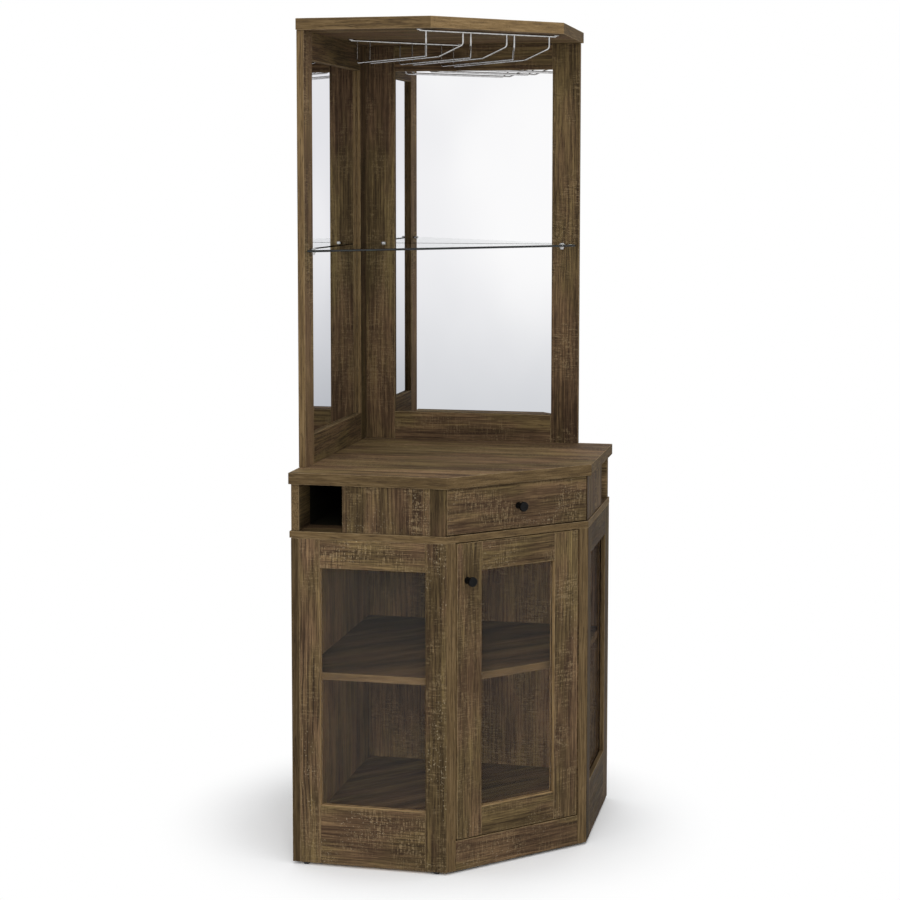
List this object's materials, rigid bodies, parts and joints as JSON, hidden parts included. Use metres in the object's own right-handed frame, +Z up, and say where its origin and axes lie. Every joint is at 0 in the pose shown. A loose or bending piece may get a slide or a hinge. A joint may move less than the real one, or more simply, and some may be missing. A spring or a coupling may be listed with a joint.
{
  "type": "corner bar cabinet",
  "caption": "Five-sided corner bar cabinet in rustic oak boards: glazed door and sides, a drawer between bottle niches, and a mirrored hutch with glass shelf and stemware rack.",
  "frame": {"origin": "on the floor, under the middle of the width and of the depth from the room's corner to the door's knob", "axes": "+Z up, -Y the way the door faces, +X to the right of someone who faces the door; the room's corner is at +Y"},
  "size_m": [0.8844, 0.7103, 1.86],
  "materials": {
    "rustic_oak_board": "satin rustic oak laminate with saw marks",
    "oak_inner_board": "plain oak laminate",
    "hardboard": "smooth hardboard",
    "smoked_glass": "polished, smoked brown",
    "clear_glass": "polished, green edge",
    "mirror_glass": "polished",
    "black_knob": "matte black",
    "black_plastic": "matte",
    "chrome": "polished",
    "zinc_steel": "bright zinc"
  },
  "bodies": {
    "cabinet": {"counter_top": "rustic_oak_board", "mid_board": "rustic_oak_board", "bottom_board": "rustic_oak_board", "lower_shelf": "rustic_oak_board", "lower_back_left": "rustic_oak_board", "lower_back_right": "rustic_oak_board", "plinth_rail": "rustic_oak_board", "upper_back_left": "rustic_oak_board", "upper_back_right": "rustic_oak_board", "side_panel_left": "rustic_oak_board", "side_panel_right": "rustic_oak_board", "niche_wall_left": "oak_inner_board", "niche_wall_right": "oak_inner_board", "left_frame_rear_stile": "rustic_oak_board", "left_frame_front_stile": "rustic_oak_board", "left_frame_top_rail": "rustic_oak_board", "left_frame_bottom_rail": "rustic_oak_board", "left_frame_glass": "smoked_glass", "hutch_left_corner_stile": "rustic_oak_board", "hutch_left_outer_stile": "rustic_oak_board", "hutch_left_top_rail": "rustic_oak_board", "hutch_left_bottom_rail": "rustic_oak_board", "hutch_left_mirror": "mirror_glass", "right_frame_rear_stile": "rustic_oak_board", "right_frame_front_stile": "rustic_oak_board", "right_frame_top_rail": "rustic_oak_board", "right_frame_bottom_rail": "rustic_oak_board", "right_frame_glass": "smoked_glass", "hutch_right_corner_stile": "rustic_oak_board", "hutch_right_outer_stile": "rustic_oak_board", "hutch_right_top_rail": "rustic_oak_board", "hutch_right_bottom_rail": "rustic_oak_board", "hutch_right_mirror": "mirror_glass", "cap_board": "rustic_oak_board", "glass_shelf": "clear_glass", "shelf_clip_left": "chrome", "shelf_clip_corner": "chrome", "shelf_clip_right": "chrome", "stemware_rack": "chrome", "drawer_track": "zinc_steel", "floor_glide_left_rear": "black_plastic", "floor_glide_left_front": "black_plastic", "floor_glide_right_front": "black_plastic", "floor_glide_right_rear": "black_plastic", "floor_glide_corner": "black_plastic"},
    "door": {"door_hinge_stile": "rustic_oak_board", "door_latch_stile": "rustic_oak_board", "door_top_rail": "rustic_oak_board", "door_bottom_rail": "rustic_oak_board", "door_glass": "smoked_glass", "door_knob": "black_knob", "door_pivot_pin_bottom": "zinc_steel", "door_pivot_pin_top": "zinc_steel"},
    "drawer": {"drawer_front": "rustic_oak_board", "drawer_side_left": "oak_inner_board", "drawer_side_right": "oak_inner_board", "drawer_back": "oak_inner_board", "drawer_bottom": "hardboard", "drawer_channel": "zinc_steel", "drawer_knob": "black_knob"}
  },
  "joints": [
    {"name": "door_hinge", "type": "hinge", "parent": "cabinet", "child": "door", "pos_m": [0.15258, -0.32208, 0.0751], "axis": [0, 0, 1], "range_deg": [0, 95]},
    {"name": "drawer_slide", "type": "slide", "parent": "cabinet", "child": "drawer", "axis": [0, -1, 0], "range_m": [0, 0.22]}
  ]
}
